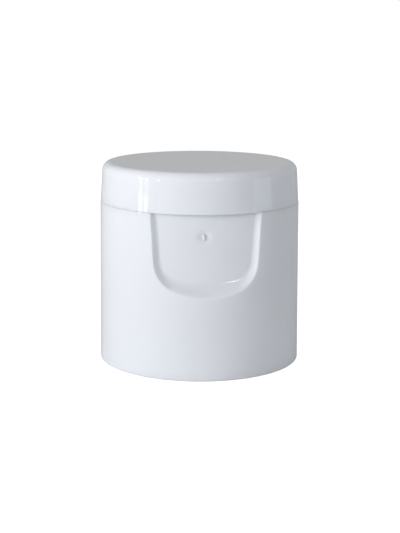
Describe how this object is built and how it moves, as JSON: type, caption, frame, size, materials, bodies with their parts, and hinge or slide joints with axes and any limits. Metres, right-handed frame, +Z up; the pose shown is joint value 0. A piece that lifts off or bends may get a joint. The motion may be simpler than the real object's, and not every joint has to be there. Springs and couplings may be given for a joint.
{
  "type": "flip top cap",
  "caption": "Smooth white double-walled flip-top dispensing cap with a flat hinged lid, a thumb recess at the front and a screw neck for a bottle.",
  "frame": {"origin": "centre of the circle on which the bottom rim stands", "axes": "+Z up along the bottle's axis, -Y towards the thumb recess at the front, +Y towards the hinge, +X to the right seen from the front"},
  "size_m": [0.032, 0.032, 0.0316],
  "materials": {
    "base_white": "polished moulded polypropylene, pigmented white",
    "lid_white": "polished moulded polypropylene, pigmented white",
    "hinge_white": "thin moulded polypropylene, slightly translucent"
  },
  "bodies": {
    "base": {"base": "base_white", "hinge_film_left": "hinge_white", "hinge_film_right": "hinge_white", "hinge_strap": "hinge_white"},
    "lid": {"lid": "lid_white"}
  },
  "joints": [
    {"name": "lid_hinge", "type": "hinge", "parent": "base", "child": "lid", "pos_m": [0, 0.0149, 0.0255], "axis": [-1, 0, 0], "range_deg": [0, 150], "deforming": ["hinge_film_left", "hinge_film_right", "hinge_strap"]}
  ]
}
